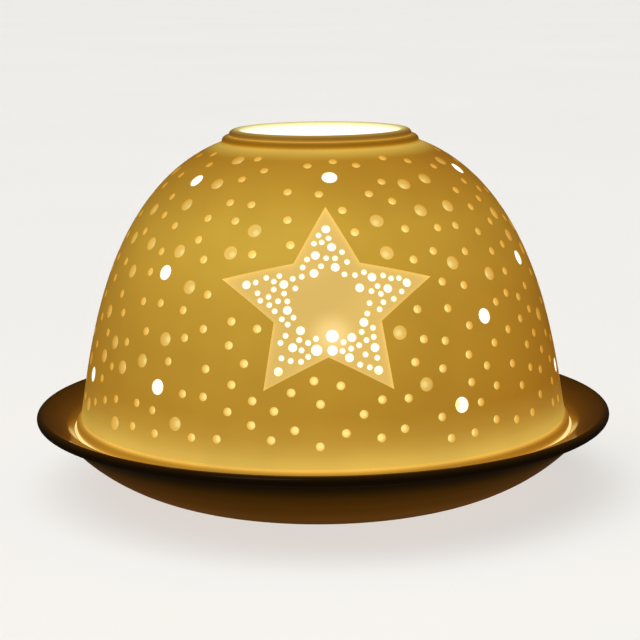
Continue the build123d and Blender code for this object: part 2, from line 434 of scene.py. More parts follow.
@dataclass(frozen=True)
class BisqueFinish(GlowingFinish):
    """Translucent bisque whose light from inside is painted as emission that follows the wall's thickness.

    Painted light: the full wall's light turns more orange with distance from a bright spot on its
    front left, and is paler in a narrow band above the foot and another below the collar. Painted
    shade darkens it in bands by height where the wall is whole, with a painted highlight on the
    collar's ledge. The crest gets painted shade, and the star gets a painted glare before the flame,
    at any thickness. Elsewhere, thin places and the inner face keep the plain light of their thickness.
    """

    # Painted light: the full wall's light turns orange toward the far colour with distance from this bright
    # spot on the front left, between the two distances below.
    bright_spot_mm: Place = (-13.0, -38.0, 63.0)
    far_light_mm: Span = (10.0, 80.0)
    far_light_colour: str = "#CCA65E"
    thin_mm: float = 1.6
    thick_mm: float = 2.55
    low_mm: float = 13.0
    high_mm: float = 76.0
    # Painted light by height: the wall's light is raised toward this colour in a band above the foot, less
    # over the bead, and in a band just below the collar.
    pale: str = "#DBB854"
    pale_light_shares: Stops = (
        (13.5, 0.90), (13.9, 0.30), (14.3, 0.05), (15.3, 0.05), (15.8, 0.60), (16.2, 0.85), (17.5, 0.70),
        (19.0, 0.45), (21.5, 0.18), (25.5, 0.0), (70.8, 0.0), (71.7, 0.55), (72.3, 0.95), (72.7, 0.0),
    )
    # Painted shade by height: slightly darker at the bead and over the lower body, darker below the collar
    # and on its bands, with a painted highlight on the ledge.
    shades: Stops = (
        (13.7, "#FFFFFF"), (14.2, "#FFFAF0"), (15.2, "#FCF6EC"), (15.8, "#FFFFFF"),
        (24.0, "#F9F6F2"), (44.0, "#F9F6F2"), (51.0, "#FFFFFF"), (59.0, "#FFFFFF"), (66.5, "#F2E6D2"),
        (70.5, "#EBDABC"), (72.3, "#FBF8F2"), (72.8, "#D8C488"),
        (73.15, "#BFA648"), (73.5, "#C4AC54"), (73.72, "#F4F0FF"), (73.88, "#F0E8E0"), (74.1, "#BA9C5C"),
        (74.5, "#90743C"), (74.9, "#7C6C48"),
    )
    # Painted shade on the crest, at full strength whatever the wall's thickness.
    crest_shades: Stops = ((74.95, "#FFFFFF"), (75.2, "#B4A484"))
    # Painted glare: light added to the star's wall round this spot before the flame, fading out at 6 mm.
    glare_spot_mm: Place = (0.8, -45.2, 40.3)
    glare_mm: Span = (6.0, 0.0)
    glare_colour: str = "#807860"
    thin_colour: str = "#8C8878"

    def thickness_share(self, tree: Tree) -> Socket:
        """Return 0 where the wall is thin, 1 where it is whole."""
        wall = add_node(tree, "ShaderNodeAttribute", attribute_name=self.attribute).outputs["Fac"]
        spread = {"Value": wall, "From Min": self.thin_mm, "From Max": self.thick_mm}
        share = add_node(tree, "ShaderNodeMapRange", spread, interpolation_type=Easing.SMOOTHSTEP.value)
        return share.outputs["Result"]

    def mottled(self, tree: Tree, place: Socket) -> Socket:
        """Return the base colour, greyer where the wall is thin."""
        inputs = {"Factor": self.thickness_share(tree)}
        inputs |= {MIX_A: linear(self.thin_colour), MIX_B: super().mottled(tree, place)}
        return add_node(tree, "ShaderNodeMix", inputs, data_type="RGBA").outputs[MIX_RESULT]

    def by_height(self, tree: Tree, place: Socket, stops: Stops) -> Socket:
        """Return a colour that follows the height, from stops in millimetres."""
        height = add_node(tree, "ShaderNodeSeparateXYZ", {"Vector": place}).outputs["Z"]
        spread = {"Value": height, "From Min": self.low_mm * MM, "From Max": self.high_mm * MM}
        share = add_node(tree, "ShaderNodeMapRange", spread).outputs["Result"]
        span = self.high_mm - self.low_mm
        shares = tuple(((z - self.low_mm) / span, code) for z, code in stops)
        return add_node(tree, "ShaderNodeValToRGB", {"Fac": share}, shares).outputs["Color"]

    def by_distance(self, tree: Tree, place: Socket, spot: Place, ends: Span, easing: Easing) -> Socket:
        """Return a share that follows the distance from a spot.

        Args:
            tree: Material tree.
            place: Coordinates on the piece.
            spot: The spot, in millimetres.
            ends: Distances in millimetres at which the share is 0 and 1.
            easing: How the share goes from 0 to 1.

        Returns:
            The share.
        """
        points = {0: place, 1: [c * MM for c in spot]}
        away = add_node(tree, "ShaderNodeVectorMath", points, operation="DISTANCE").outputs["Value"]
        spread = {"Value": away, "From Min": ends[0] * MM, "From Max": ends[1] * MM}
        share = add_node(tree, "ShaderNodeMapRange", spread, interpolation_type=easing.value)
        return share.outputs["Result"]

    def shape_light(self, tree: Tree, light: Socket, place: Socket) -> Socket:
        """Paint the light: turn the full wall's light orange with distance, pale and shade it by height,
        shade the crest, and add the glare before the flame.
        """
        thick = self.thickness_share(tree)
        far = self.by_distance(tree, place, self.bright_spot_mm, self.far_light_mm, Easing.LINEAR)
        far_light = add_node(tree, "ShaderNodeValToRGB", {"Fac": far}, ((0.0, "#FFFFFF"), (1.0, self.far_light_colour)))
        pale = self.by_height(tree, place, self.pale_light_shares)
        pale = add_node(tree, "ShaderNodeMath", {0: pale, 1: thick}, operation="MULTIPLY").outputs["Value"]
        # Share of the painted glare before the flame.
        hot = self.by_distance(tree, place, self.glare_spot_mm, self.glare_mm, Easing.SMOOTHERSTEP)
        for factor, colour, blend in (
            (thick, far_light.outputs["Color"], Blend.MULTIPLY),
            (pale, linear(self.pale), Blend.LIGHTEN),
            (thick, self.by_height(tree, place, self.shades), Blend.MULTIPLY),
            (1.0, self.by_height(tree, place, self.crest_shades), Blend.MULTIPLY),
            (hot, linear(self.glare_colour), Blend.ADD),
        ):
            inputs = {"Factor": factor, MIX_A: light, MIX_B: colour}
            mixed = add_node(tree, "ShaderNodeMix", inputs, data_type="RGBA", blend_type=blend.value)
            light = mixed.outputs[MIX_RESULT]
        return light


# Unglazed porcelain, cast thin and sanded after firing: matt, with a silky grain. Its light from
# inside is painted as emission: amber through the full wall, paler where it is thinner, and white on its
# inner face.
BISQUE_PORCELAIN = BisqueFinish(
    name="bisque_porcelain_lit",
    colour="#B98F45",
    coat=1.0,
    roughness=0.55,
    grain_mm=0.35,
    grain_height_mm=0.012,
    mottle_mm=14.0,
    mottle=0.05,
    attribute="wall",
    span=4.0,
    stops=(
        (0.0, "#FFFFF4"),
        (0.075, "#FFFCE4"),
        (0.25, "#F8E6A6"),
        (0.3, "#EEDE98"),
        (0.35, "#EADA8E"),
        (0.4, "#EAD880"),
        (0.45, "#DCB763"),
        (0.55, "#D6B45C"),
        (0.62, "#C8A23E"),
        (0.65, "#C49E37"),
        (1.0, "#B8902F"),
    ),
    strength=1.09,
)

# Porcelain under a clear glaze, fired glossy, with sharp soft-edged reflections and a slight orange peel.
# Its dark brown is painted shade of porcelain in the dark, and its glow is painted light: the candle's light
# through the thin bowl and the dome's light on the rim and the seat.
GLAZED_PORCELAIN = GlowingFinish(
    name="glazed_porcelain_brown",
    colour="#2B1A0B",
    roughness=0.16,
    grain_mm=2.5,
    grain_height_mm=0.006,
    mottle_mm=18.0,
    mottle=0.10,
    stops=(
        (0.0, "#000000"),
        (0.15, "#150C02"),
        (0.3, "#2E1B00"),
        (0.5, "#482902"),
        (0.65, "#623A05"),
        (0.8, "#966418"),
        (0.9, "#BE9640"),
        (1.0, "#FFE9A0"),
    ),
)

# The same porcelain inside the saucer's well, under a clear glaze: pale and glossy, with the flame's light
# on it painted as glow.
PALE_PORCELAIN = GlowingFinish(
    name="glazed_porcelain_pale",
    colour="#D9BC84",
    roughness=0.18,
    grain_mm=2.5,
    grain_height_mm=0.006,
    mottle_mm=18.0,
    mottle=0.05,
    stops=((0.0, "#3A2406"), (0.8, "#966418"), (0.9, "#C89A44"), (1.0, "#FFE9A0")),
)

# Unglazed porcelain of the foot ring, ground flat after firing: matt and gritty.
GROUND_PORCELAIN = Finish(
    name="ground_porcelain_foot",
    colour="#8A7658",
    roughness=0.8,
    grain_mm=0.25,
    grain_height_mm=0.02,
)

# Deep-drawn aluminium foil: bright, with fine streaks from the die.
DRAWN_ALUMINIUM = Finish(
    name="aluminium_drawn",
    colour="#E3E4E6",
    roughness=0.28,
    metallic=1.0,
    grain_mm=0.9,
    grain_height_mm=0.004,
    mottle_mm=4.0,
    mottle=0.04,
)

# Cast paraffin wax: milky and soft-edged, glossy where it has melted, with the flame's light painted as
# glow, warmest near the flame.
CAST_WAX = GlowingFinish(
    name="paraffin_wax_cast",
    colour="#F1E8D2",
    roughness=0.3,
    ior=1.44,
    grain_mm=1.5,
    grain_height_mm=0.02,
    mottle_mm=6.0,
    mottle=0.03,
    stops=((0.0, "#3A2A10"), (0.5, "#A8803C"), (1.0, "#D8B068")),
)

# Tinned steel, stamped: grey, satin.
TINNED_STEEL = Finish(
    name="steel_tinned_stamped",
    colour="#B9BABC",
    roughness=0.35,
    metallic=1.0,
    grain_mm=0.6,
    grain_height_mm=0.006,
)

# Braided cotton, waxed below and burnt black above, with a glowing tip.
BRAIDED_COTTON = GlowingFinish(
    name="cotton_wick_charred",
    colour="#2A211A",
    roughness=0.9,
    grain_mm=0.25,
    grain_height_mm=0.05,
    mottle_mm=1.5,
    mottle=0.25,
    stops=((0.0, "#000000"), (0.7, "#000000"), (0.9, "#7A1E00"), (1.0, "#FF8A20")),
)

# Seamless paper of the studio's floor: matt and almost even.
PALE_PAPER = Finish(
    name="paper_pale",
    colour="#F3F1ED",
    roughness=0.9,
    grain_mm=1.0,
    grain_height_mm=0.0,
    mottle_mm=400.0,
    mottle=0.01,
)

# Candle flame: clear and bluish at its root, white-hot in the middle, golden at its tip.
CANDLE_FLAME = GlowingFinish(
    name="candle_flame",
    colour="#FFF0C0",
    roughness=1.0,
    grain_height_mm=0.0,
    mottle=0.0,
    stops=((0.0, "#5A6AA0"), (0.15, "#F0B050"), (0.4, "#FFF6D0"), (0.8, "#FFE9A0"), (1.0, "#FFC860")),
    strength=1.7,
    unevenness=0.0,
)


# ---------------------------------------------------------------------------------------------
# Sub-assemblies
# ---------------------------------------------------------------------------------------------


class Surface(IntEnum):
    """The saucer's surfaces, in the order of its material slots."""

    GLAZED = 0
    WELL = 1
    FOOT = 2


@dataclass
class Saucer:
    """Footed porcelain saucer with a seat for the dome. Sizes in millimetres."""

    node: str = "saucer"
    segments: int = 256
    rim_edge: float = 1.05
    rim_slope: tuple[Ring, Ring, Ring] = ((58.0, 16.72), (56.4, 16.1), (55.0, 15.55))
    lip_top: Ring = (54.0, 15.05)
    lip_foot: tuple[Ring, Ring] = ((53.8, 15.0), (53.0, 13.9))
    under_rim: tuple[Ring, Ring, Ring] = ((55.9, 14.42), (56.4, 14.6), (57.2, 14.75))
    bowl_top: Ring = (55.8, 14.3)
    bowl_middle: Ring = (43.4, 4.0)
    bowl_wall: float = 3.0
    # Painted light through the bowl: radius, steps and glow of each stretch of the bowl's outside.
    bowl_glows: tuple[tuple[float, int, float], ...] = (
        (45.0, 14, 0.56), (50.3, 7, 0.48), (52.9, 4, 0.37), (54.4, 3, 0.22), (55.2, 2, 0.15),
    )
    foot_outer: float = 30.2
    foot_inner: float = 27.4
    foot_recess: float = 1.0
    foot_fillet: float = 1.6
    foot_soften: float = 0.35
    floor_z: float = 3.9
    floor_fillet: float = 1.5
    floor_flat: float = 12.0
    seat_z: float = 13.5
    seat_inner: float = 47.4
    seat_outer: float = 52.4
    seat_bevel: float = 0.5
    seat_gleam: float = 0.15
    glaze_line: float = 50.0
    level: float = 0.1
    rim_radius: float = 0.0
    rim_middle: float = 0.0

    def __post_init__(self) -> None:
        """Take the rim's radius and height from the frame."""
        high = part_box(self.node)[1]
        self.rim_radius = high[0] / MM
        self.rim_middle = high[2] / MM - self.rim_edge

    def foot(self, section: Outline) -> None:
        """Run from the middle of the underside round the foot ring."""
        inner, outer, soften = self.foot_inner, self.foot_outer, self.foot_soften
        recess = self.foot_recess
        section.to(0.0, recess, 0.6)
        section.to(inner - self.foot_fillet, recess, 0.55)
        section.curve((inner - 0.6, recess), (inner - 0.2, recess - 0.2), (inner, soften), 5, 0.35)
        section.curve((inner, 0.1), (inner + 0.1, 0.0), (inner + soften, 0.0), 3, 0.1)
        section.to(outer - soften, 0.0, 0.1)
        section.curve((outer - 0.1, 0.0), (outer, 0.02), (outer + 0.15, 0.05), 3, 0.5)

    def rim(self, section: Outline) -> None:
        """Run from the bowl's top round the rim and down the lip to the seat."""
        rim, edge, middle = self.rim_radius, self.rim_edge, self.rim_middle
        handle = ROUND_HANDLE * edge
        low, high, turn = middle - edge, middle + edge, rim - edge
        section.curve(*self.under_rim, 5, 0.14)
        section.to(turn, low, 0.12)
        section.curve((turn + handle, low), (rim, middle - handle), (rim, middle), 6, 0.1)
        section.curve((rim, middle + handle), (turn + handle, high), (turn, high), 6, 0.36)
        section.to(*self.rim_slope[0], 0.47)
        section.curve(*self.rim_slope[1:], self.lip_top, 8, 0.62)
        section.curve(*self.lip_foot, (self.seat_outer, self.seat_z), 6, 0.72)

    def well(self, section: Outline, inside: Circle) -> None:
        """Run from the seat's inner edge down the well to the middle of its floor."""
        floor, seat = self.floor_z, self.seat_z
        top_r, top_z = inside.at_radius(self.seat_inner - self.seat_bevel)
        section.curve((self.seat_inner, seat), (top_r, seat - 0.4), (top_r, seat - 1.4), 6, 0.92)
        section.to(top_r - 0.15, top_z + 0.5, 0.93).to(top_r - 0.6, top_z + 0.05, 0.93)
        section.to(*inside.at_radius(top_r - 1.2), 0.93)
        section.arc(inside, inside.at_height(floor + 0.05), 14, 0.95)
        section.to(inside.at_height(floor)[0] - self.floor_fillet, floor, 0.95)
        section.to(self.floor_flat, floor, 0.96).to(0.0, floor, 0.96)

    def outline(self) -> Outline:
        """Return the section, from the middle of the underside round to the middle of the floor."""
        outside = Circle.through((self.foot_outer, 0.0), self.bowl_middle, self.bowl_top)
        inside = Circle(outside.radius, outside.height, outside.size - self.bowl_wall)
        # Each point's glow is painted light: under the foot, through the bowl, on the rim, the lip and the
        # seat, and in the well.
        section = Outline()
        self.foot(section)
        for radius, steps, glow in self.bowl_glows:
            section.arc(outside, outside.at_radius(radius), steps, glow)
        self.rim(section)
        # Painted highlight: a narrow ring of full glow on the seat beside the lip.
        section.to(self.seat_outer - self.seat_gleam, self.seat_z, 1.0)
        section.to(self.glaze_line, self.seat_z, 0.92)
        section.to(self.seat_inner + self.seat_bevel, self.seat_z, 0.9)
        self.well(section, inside)
        return section

    def surface(self, face: bpy.types.MeshPolygon) -> Surface:
        """Say which surface a face belongs to, from its place and the way it looks."""
        radius, height = face.center.xy.length / MM, face.center.z / MM
        looks_in = face.normal.z > 0.1 or face.normal.xy.dot(face.center.xy) < 0
        if self.foot_inner < radius < self.foot_outer and height < self.level:
            return Surface.FOOT
        if radius < self.glaze_line and height > self.floor_z - self.level and looks_in:
            return Surface.WELL
        return Surface.GLAZED

    def build(self) -> Object:
        """Make the saucer: dark brown outside as painted shade, pale in its well, both with painted glow,
        and unglazed under its foot ring.
        """
        mesh = self.outline().turn(self.node + "_glazed", self.segments)
        for finish in (GLAZED_PORCELAIN, PALE_PORCELAIN, GROUND_PORCELAIN):
            mesh.materials.append(finish.material())
        for face in mesh.polygons:
            face.material_index = self.surface(face)
        piece = new_object(self.node + "_glazed", mesh)
        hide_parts(self.node)
        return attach(piece, self.node)


@dataclass
class Star:
    """The star in the dome's front: a shallow recess whose arms are pierced. Sizes in millimetres."""

    height: float = 46.0
    points: int = 5
    outer: float = 20.75
    inner: float = 10.6
    squash: float = 0.935
    depth: float = 0.8
    margin: float = 1.7
    cut_out: float = 6.0
    cut_in: float = 14.0
    large: float = 1.48
    small: float = 0.88
    tip_hole: float = 16.2
    plain_middle: float = 6.6
    hole_margin: float = 1.1
    gaps: tuple[float, float, float] = (3.1, 1.72, 1.5)
    flame_holes: tuple[Place, ...] = (
        (0.8, -5.9, 2.2), (0.8, -8.6, 1.7), (-2.2, -8.5, 1.9),
    )
    large_tries: int = 500
    small_tries: int = 9000
    seed: int = 5

    def at(self, radius: float, angle: float) -> tuple[float, float]:
        """Return a place in the star's plane, from its radius and angle."""
        return radius * math.cos(angle), radius * math.sin(angle) * self.squash

    def corners(self) -> list[tuple[float, float]]:
        """Return the star's corners in its own plane."""
        found = []
        for index in range(2 * self.points):
            radius = self.inner if index % 2 else self.outer
            found.append(self.at(radius, math.pi / 2 + index * math.pi / self.points))
        return found

    def holes(self) -> list[tuple[float, float, float]]:
        """Scatter the piercings over the arms, first the large ones and then the small ones.

        Returns:
            Each piercing's place in the star's plane, and its diameter.
        """
        draw = random.Random(self.seed)
        found = list(self.flame_holes)
        for arm in range(self.points):
            angle = math.pi / 2 + arm * 2 * math.pi / self.points
            found.append((*self.at(self.tip_hole, angle), self.large))
        large_gap, mixed_gap, small_gap = self.gaps
        for size, tries in ((self.large, self.large_tries), (self.small, self.small_tries)):
            for _ in range(tries):
                x, y = draw.uniform(-self.outer, self.outer), draw.uniform(-self.outer, self.outer)
                if self.away(x, y) > -self.hole_margin - size / 4 or math.hypot(x, y) < self.plain_middle:
                    continue
                same_gap = large_gap if size == self.large else small_gap
                gaps = (
                    math.hypot(x - a, y - b)
                    - (same_gap if (size == self.small) == (c == self.small) else mixed_gap)
                    - max(c - self.large, 0.0) / 2
                    for a, b, c in found
                )
                if min(gaps) > 0:
                    found.append((x, y, size))
        log.info("star piercings: %d", len(found))
        return found

    def away(self, x: float, y: float) -> float:
        """Return how far a point of the star's plane is outside the star, or less than 0 inside."""
        corners = self.corners()
        nearest, inside = math.inf, False
        for (ax, ay), (bx, by) in zip(corners, corners[1:] + corners[:1]):
            length = (bx - ax) ** 2 + (by - ay) ** 2
            t = min(max(((x - ax) * (bx - ax) + (y - ay) * (by - ay)) / length, 0), 1)
            nearest = min(nearest, math.hypot(x - ax - t * (bx - ax), y - ay - t * (by - ay)))
            if (ay > y) != (by > y) and x < ax + (y - ay) * (bx - ax) / (by - ay):
                inside = not inside
        return -nearest if inside else nearest


@dataclass
class Dome:
    """Thin porcelain dome: a turned wall with a star, piercings and dimples. Sizes in millimetres."""

    node: str = "dome"
    base_radius: float = 50.8
    base_z: float = 16.1
    draft: float = 0.155
    rise: float = 59.0
    shoulder: float = 2.95
    crown: float = 2.87
    wall: float = 2.6
    top_radius: float = 20.3
    bead_radius: float = 51.8
    bead_top: float = 15.4
    groove: float = 0.4
    mouth_radius: float = 16.5
    foot_bevel: float = 0.3
    lower_band: tuple[Ring, Ring] = ((20.25, 73.4), (19.75, 73.68))
    step_edge: tuple[Ring, Ring] = ((19.4, 73.82), (19.0, 73.78))
    step: Ring = (18.85, 73.8)
    upper_band: tuple[Ring, Ring] = ((18.9, 74.2), (18.65, 74.55))
    crest_outer: Ring = (18.4, 74.9)
    crest_radii: tuple[float, float, float] = (18.0, 17.45, 16.95)
    mouth_edge_z: float = 74.9
    mouth_z: float = 74.1
    segments: int = 208
    rings: int = 56
    star: Star = field(default_factory=Star)
    piercing: float = 2.9
    countersink: float = 0.15
    countersink_depth: float = 0.4
    drill_length: float = 9.0
    drill_sides: int = 20
    ball_segments: int = 14
    ball_rings: int = 9
    piercings: tuple[tuple[float, float], ...] = (
        (-73, 27), (-42, 29), (31, 26), (76, 27), (42, 41.5), (-47, 50), (68, 50), (-55, 66.5),
        (2, 68), (70, 67.5), (112, 44), (128, 66), (131, 28), (155, 51), (178, 67), (177, 31),
        (-152, 46), (-124, 66), (-128, 29), (-102, 49),
    )
    dimple_sizes: tuple[tuple[float, float], ...] = ((2.8, 1.0), (1.7, 1.2))
    dimple_large_share: float = 0.19
    dimple_spacing: float = 4.4
    dimple_tries: int = 60000
    dimple_density: float = 0.35
    flattest: float = 0.35
    clear_of_foot: float = 4.0
    clear_of_collar: float = 1.6
    skin_flare: float = 0.4
    skin_rise: float = 0.8
    skin_below_top: float = 1.3
    dimple_seed: int = 11
    foot_z: float = 0.0
    top_z: float = 0.0

    def __post_init__(self) -> None:
        """Take the foot's and the collar's heights from the frame."""
        low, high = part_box(self.node)
        self.foot_z = low[2] / MM
        self.top_z = high[2] / MM

    def radius(self, height: float) -> float:
        """Return the wall's outer radius at a height."""
        rise = height - self.base_z
        crown = (1 - (max(rise, 0.0) / self.rise) ** self.shoulder) ** (1 / self.crown)
        return (self.base_radius - self.draft * rise) * crown

    def slope(self, height: float) -> float:
        """Return the angle of the wall's outward normal above the horizontal."""
        step = 0.01
        return math.atan2(self.radius(height - step) - self.radius(height + step), 2 * step)

    def top_of_wall(self) -> float:
        """Return the height at which the wall meets the collar."""
        low, high = self.base_z, self.base_z + self.rise
        for _ in range(HALVINGS):
            middle = (low + high) / 2
            low, high = (middle, high) if self.radius(middle) > self.top_radius else (low, middle)
        return low

    def face(self, depth: float, count: int) -> list[Ring]:
        """Return points of the wall at a depth below its outer face, from foot to collar."""
        top = self.top_of_wall()
        found = []
        for index in range(count):
            height = self.base_z + (top - self.base_z) * math.sin(index / (count - 1) * math.pi / 2)
            slope = self.slope(height)
            found.append((self.radius(height) - depth * math.cos(slope), height - depth * math.sin(slope)))
        return found

    def bead(self, section: Outline, start: Ring) -> None:
        """Run round the foot's bead and over the groove to where the wall starts."""
        radius, low, high = self.bead_radius, self.foot_z, self.bead_top
        root = self.base_radius - self.groove
        section.to(radius - 0.45, low)
        section.curve((radius - 0.1, low), (radius, low + 0.3), (radius, (low + high) / 2), 5)
        section.curve((radius, high - 0.3), (radius - 0.2, high), (root, high + 0.2), 5)
        section.curve((root - 0.05, high + 0.35), (self.base_radius - 0.1, self.base_z - 0.2), start, 4)

    def collar(self, section: Outline, end: Ring) -> None:
        """Run from the wall over the two bands and the crest, and down the mouth to the inner face."""
        (wall_r, wall_z), (step_r, step_z), (end_r, end_z) = section.points[-1], self.step, end
        outer_r, crest_r, inner_r = self.crest_radii
        mouth, top = self.mouth_radius, self.top_z
        section.curve((wall_r + 0.12, wall_z + 0.3), *self.lower_band, 7)
        section.curve(*self.step_edge, self.step, 4)
        section.curve((step_r + 0.1, step_z + 0.05), *self.upper_band, 5)
        section.curve(self.crest_outer, (outer_r, top), (crest_r, top), 6)
        section.curve((inner_r, top), (mouth, self.mouth_edge_z), (mouth, self.mouth_z), 6)
        section.to(mouth, (self.mouth_z + end_z) / 2 + 0.6)
        section.curve((mouth, end_z + 0.8), (end_r - 1.6, end_z + 0.6), end, 6)

    def turned_wall(self) -> Mesh:
        """Turn the plain dome: beaded foot, even wall, stepped collar and open mouth."""
        outer = self.face(0.0, self.rings)
        inner = self.face(self.wall, self.rings // 2)
        inner_foot = inner[0][0] + self.draft * (inner[0][1] - self.foot_z)
        section = Outline().to(inner_foot + self.foot_bevel, self.foot_z)
        self.bead(section, outer[0])
        for point in outer[1:]:
            section.to(*point)
        self.collar(section, inner[-1])
        for point in inner[-2::-1]:
            section.to(*point)
        section.to(inner_foot, self.foot_z + self.foot_bevel)
        return section.turn(self.node + "_wall", self.segments)

    def turned_core(self, depth: float, name: str) -> Mesh:
        """Turn a closed solid that fills the dome up to a depth below its outer face."""
        points = self.face(depth, self.rings)
        section = Outline().to(0.0, points[0][1])
        for point in points:
            section.to(*point)
        return section.to(0.0, points[-1][1]).turn(name, self.segments)

    def inner_skin(self, name: str) -> Mesh:
        """Turn an open skin of the inner face and the mouth, to measure distances from."""
        points = self.face(self.wall, self.rings)
        section = Outline().to(points[0][0] + self.skin_flare, self.foot_z)
        for point in points:
            section.to(*point)
        section.to(self.mouth_radius, points[-1][1] + self.skin_rise)
        section.to(self.mouth_radius, self.top_z - self.skin_below_top)
        return section.turn(name, self.segments, closed=False)


    def plane(self, azimuth: float, height: float) -> tuple[Vector, Vector]:
        """Return a place on the outer face in metres, and the wall's normal there."""
        turn, slope = math.radians(azimuth), self.slope(height)
        outward = Vector((math.sin(turn), -math.cos(turn), 0.0))
        place = (outward * self.radius(height) + Vector((0, 0, height))) * MM
        return place, outward * math.cos(slope) + Vector((0, 0, math.sin(slope)))

    def star_frame(self) -> Matrix:
        """Return the star's plane: X across, Y up the wall and Z out of it."""
        place, out = self.plane(0.0, self.star.height)
        across = Vector((1.0, 0.0, 0.0))
        frame_axes = Matrix((across, out.cross(across), out)).transposed().to_4x4()
        return Matrix.Translation(place) @ frame_axes

    def star_block(self, name: str) -> Mesh:
        """Make a star-shaped block that stands through the wall, square to it at its middle."""
        shape = bmesh.new()
        star_frame = self.star_frame()
        floors = []
        for level in (-self.star.cut_in, self.star.cut_out):
            corners = [star_frame @ (Vector((x, y, level)) * MM) for x, y in self.star.corners()]
            floors.append([shape.verts.new(c) for c in corners])
        shape.faces.new(floors[0][::-1])
        shape.faces.new(floors[1])
        bridge(shape, floors)
        bmesh.ops.triangulate(shape, faces=[f for f in shape.faces if len(f.verts) > 4])
        return take_mesh(shape, name)


    def behind(self, x: float, y: float) -> tuple[float, float]:
        """Return azimuth and height of the wall behind a point of the star's plane."""
        slope = self.slope(self.star.height)
        low, high = -self.star.cut_out, self.star.cut_in
        for _ in range(HALVINGS):
            sunk = (low + high) / 2
            outward = self.radius(self.star.height) - y * math.sin(slope) - sunk * math.cos(slope)
            height = self.star.height + y * math.cos(slope) - sunk * math.sin(slope)
            if math.hypot(x, outward) > self.radius(height):
                low = sunk
            else:
                high = sunk
        return math.degrees(math.atan2(x, outward)), height

    def drills(self) -> list[tuple[float, float, float, float]]:
        """Return every piercing as azimuth, height, diameter and depth of its edge."""
        found = [(*self.behind(x, y), size, self.star.depth) for x, y, size in self.star.holes()]
        return found + [(azimuth, height, self.piercing, 0.0) for azimuth, height in self.piercings]

    def drill_points(self) -> Mesh:
        """Make the points that the piercings are drilled at."""
        places, outs, bores = [], [], []
        for azimuth, height, size, sunk in self.drills():
            place, out = self.plane(azimuth, height)
            places.append(place - out * sunk * MM)
            outs.append(out)
            bores.append(size / 2 * MM)
        return point_mesh("drill_points", places, outward=outs, bore=bores)

    def dimple_points(self) -> Mesh:
        """Scatter the dimples over the wall, clear of the star, the piercings and the edges.

        Returns:
            Points on the outer face, with the dimples' radii and depths.
        """
        draw = random.Random(self.dimple_seed)
        low, high = self.base_z + self.clear_of_foot, self.top_of_wall() - self.clear_of_collar
        to_star = self.star_frame().inverted()
        kept = np.array([self.plane(a, h)[0] / MM for a, h in self.piercings])
        places, outs, radii, depths = [], [], [], []
        for _ in range(self.dimple_tries):
            azimuth, height = draw.uniform(-180, 180), draw.uniform(low, high)
            upright = max(math.cos(self.slope(height)), self.flattest)
            if draw.random() > self.radius(height) / self.base_radius / upright * self.dimple_density:
                continue
            place, out = self.plane(azimuth, height)
            here = np.array(place / MM)
            if np.min(np.linalg.norm(kept - here, axis=1)) < self.dimple_spacing:
                continue
            flat = to_star @ place / MM
            if place.y < 0 and self.star.away(flat.x, flat.y) < self.star.margin:
                continue
            kept = np.vstack([kept, here])
            size, depth = self.dimple_sizes[draw.random() > self.dimple_large_share]
            places.append(place)
            outs.append(out)
            radii.append(size / 2 * MM)
            depths.append(depth * MM)
        log.info("dimples: %d", len(places))
        return point_mesh("dimple_points", places, outward=outs, bore=radii, deep=depths)

    def piercing_tree(self) -> Tree:
        """Build the node tree that cuts the star, the piercings and the dimples into the wall.

        Returns:
            A tree whose inputs are the helper shapes, the drill's and the countersink's sizes, the
            angle over which edges stay sharp, and the finish.
        """
        tree = bpy.data.node_groups.new("pierce_dome", "GeometryNodeTree")
        sockets = tree.interface
        for kind, names in (
            ("Geometry", ("Geometry",)),
            ("Object", ("Star Block", "Core", "Inner Face", "Drill Points", "Dimple Points")),
            ("Float", ("Drill Length", "Countersink", "Countersink Depth", "Smooth Angle")),
            ("Int", ("Drill Sides", "Ball Segments", "Ball Rings")),
            ("Material", ("Finish",)),
        ):
            for name in names:
                sockets.new_socket(name, in_out="INPUT", socket_type="NodeSocket" + kind)
        sockets.new_socket("Geometry", in_out="OUTPUT", socket_type="NodeSocketGeometry")
        given = add_node(tree, "NodeGroupInput").outputs

        def shape_of(name: str) -> Socket:
            """Return the shape of a helper object."""
            return add_node(tree, "GeometryNodeObjectInfo", {"Object": given[name]}).outputs["Geometry"]

        def named(name: str, kind: str) -> Socket:
            """Read a point attribute."""
            node = add_node(tree, "GeometryNodeInputNamedAttribute", {"Name": name}, data_type=kind)
            return node.outputs[0]

        def combined(operation: str, first: Socket, second: Socket | float) -> Socket:
            """Work out a sum or a product."""
            return add_node(tree, "ShaderNodeMath", {0: first, 1: second}, operation=operation).outputs[0]

        def cut(mesh: Socket, tool: Socket) -> Socket:
            """Take one shape away from another."""
            inputs, way = {"Mesh 1": mesh, "Mesh 2": tool}, {"operation": "DIFFERENCE", "solver": "MANIFOLD"}
            return add_node(tree, "GeometryNodeMeshBoolean", inputs, **way).outputs["Mesh"]

        def distance(target: Socket) -> Socket:
            """Measure how far each point is from a surface."""
            node = add_node(tree, "GeometryNodeProximity", {"Target": target}, target_element="FACES")
            return node.outputs["Distance"]

        axis = {"Vector": named("outward", "FLOAT_VECTOR")}
        outward = add_node(tree, "FunctionNodeAlignRotationToVector", axis, axis="Z").outputs[0]
        bore = named("bore", "FLOAT")

        def cutters(points: str, tool: Node, width: Socket, length: Socket | float) -> Socket:
            """Stand a cutting tool on every helper point, scaled to its width and length."""
            scale = add_node(tree, "ShaderNodeCombineXYZ", {"X": width, "Y": width, "Z": length}).outputs[0]
            inputs = {"Points": shape_of(points), "Instance": tool.outputs["Mesh"]}
            inputs |= {"Rotation": outward, "Scale": scale}
            stood = add_node(tree, "GeometryNodeInstanceOnPoints", inputs).outputs["Instances"]
            return add_node(tree, "GeometryNodeRealizeInstances", {"Geometry": stood}).outputs["Geometry"]

